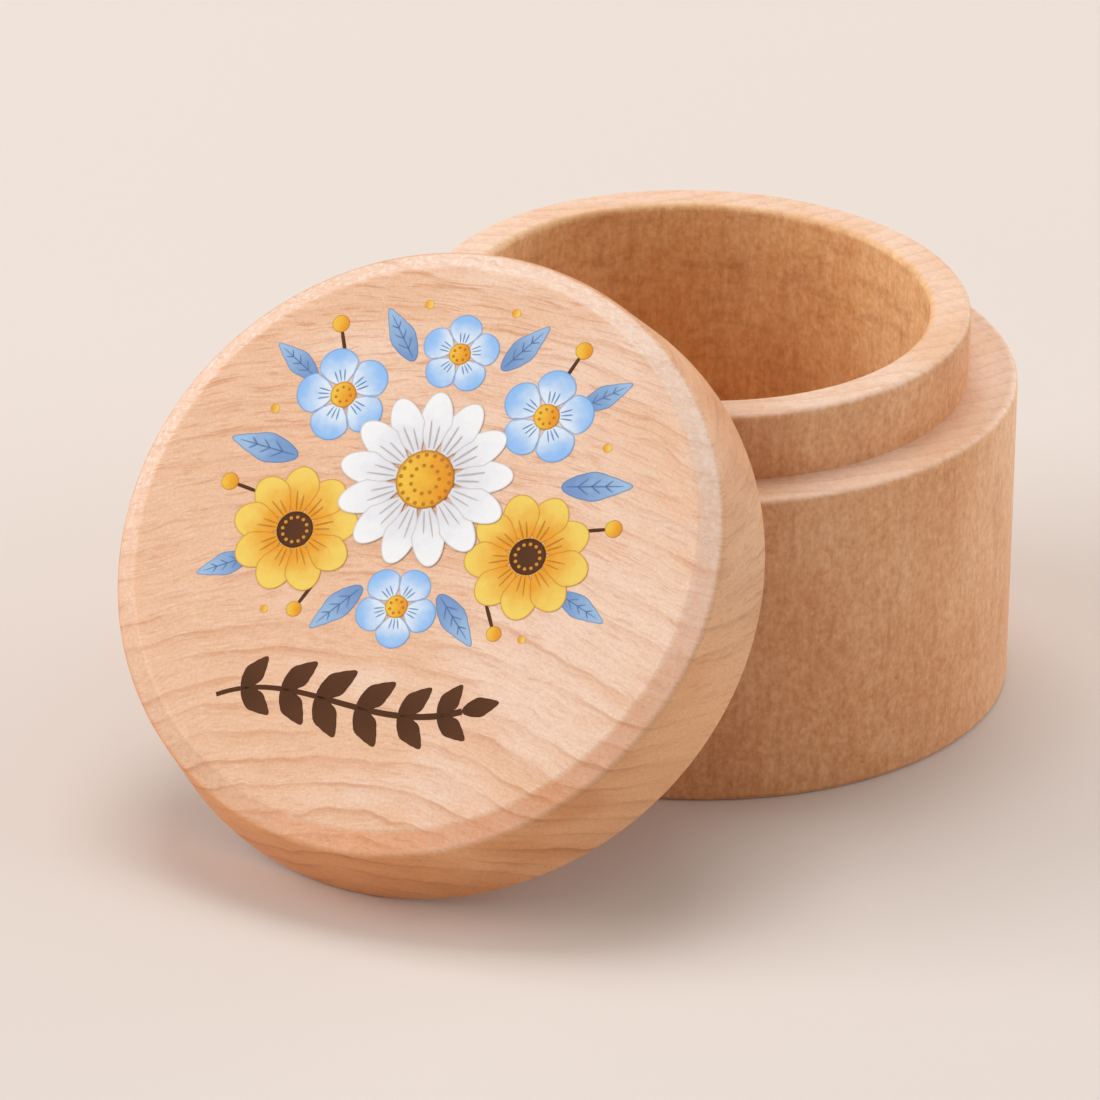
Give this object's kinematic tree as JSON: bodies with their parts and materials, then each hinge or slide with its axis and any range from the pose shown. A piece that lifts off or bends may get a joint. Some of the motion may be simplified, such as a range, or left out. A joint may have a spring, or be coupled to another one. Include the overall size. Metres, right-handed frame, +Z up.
{
  "type": "baby tooth box",
  "caption": "Small round turned wooden keepsake box with a stepped neck and a lift-off cap lid, shown open with the lid leaning on it; keeps milk teeth.",
  "frame": {"origin": "centre of the box body's resting face, on the surface it stands on", "axes": "+Z up along the box's turning axis; -Y towards the viewer; the leaning lid stands on the -X, -Y side"},
  "size_m": [0.069, 0.0746, 0.0419],
  "materials": {
    "box_wood": "bare sanded beech",
    "lid_wood": "bare sanded beech, printed face"
  },
  "bodies": {
    "box": {"box_body": "box_wood"},
    "lid": {"lid": "lid_wood"}
  },
  "joints": [
    {"name": "lid_lift", "type": "slide", "parent": "box", "child": "lid", "axis": [0, 0, 1], "range_m": [0, 0.06]}
  ]
}
